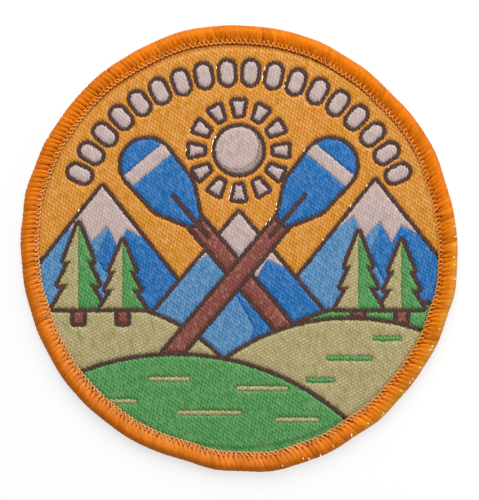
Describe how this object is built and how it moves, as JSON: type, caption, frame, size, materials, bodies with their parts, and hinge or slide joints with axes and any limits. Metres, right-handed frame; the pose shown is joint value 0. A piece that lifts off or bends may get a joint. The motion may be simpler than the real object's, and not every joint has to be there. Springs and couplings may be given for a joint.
{
  "type": "woven badge",
  "caption": "Round flat cloth badge: an outdoor picture woven in coloured yarns on a stiff backing with iron-on film, edged by a thick merrowed border of wound thread.",
  "frame": {"origin": "centre of the badge in the plane that it lies on", "axes": "+Z out of the woven face, +Y to the top of the picture, +X to the right of the picture"},
  "size_m": [0.076, 0.076, 0.0023],
  "materials": {
    "orange_yarn": "woven satin yarn",
    "dark_yarn": "woven satin yarn",
    "pale_yarn": "woven satin yarn",
    "taupe_yarn": "woven satin yarn",
    "brown_yarn": "woven satin yarn",
    "green_yarn": "woven satin yarn",
    "pale_green_yarn": "woven satin yarn",
    "blue_yarn": "woven satin yarn",
    "light_blue_yarn": "woven satin yarn",
    "border_thread": "satin wrap stitches of floss thread",
    "stiffener_felt": "pressed felt",
    "film": "milky hot-melt film"
  },
  "bodies": {
    "root": {"sky_weave": "orange_yarn", "outline_weave": "dark_yarn", "bar_weave": "pale_yarn", "sun_weave": "pale_yarn", "sun_shade_weave": "taupe_yarn", "mountain_weave": "blue_yarn", "mountain_light_weave": "light_blue_yarn", "snow_weave": "pale_yarn", "paddle_shaft_weave": "brown_yarn", "paddle_blade_weave": "blue_yarn", "blade_band_weave": "pale_yarn", "pine_weave": "green_yarn", "pine_light_weave": "pale_green_yarn", "trunk_weave": "brown_yarn", "hill_weave": "green_yarn", "meadow_weave": "pale_green_yarn", "stiffener": "stiffener_felt", "heat_seal_film": "film", "merrow_border": "border_thread"}
  },
  "joints": []
}
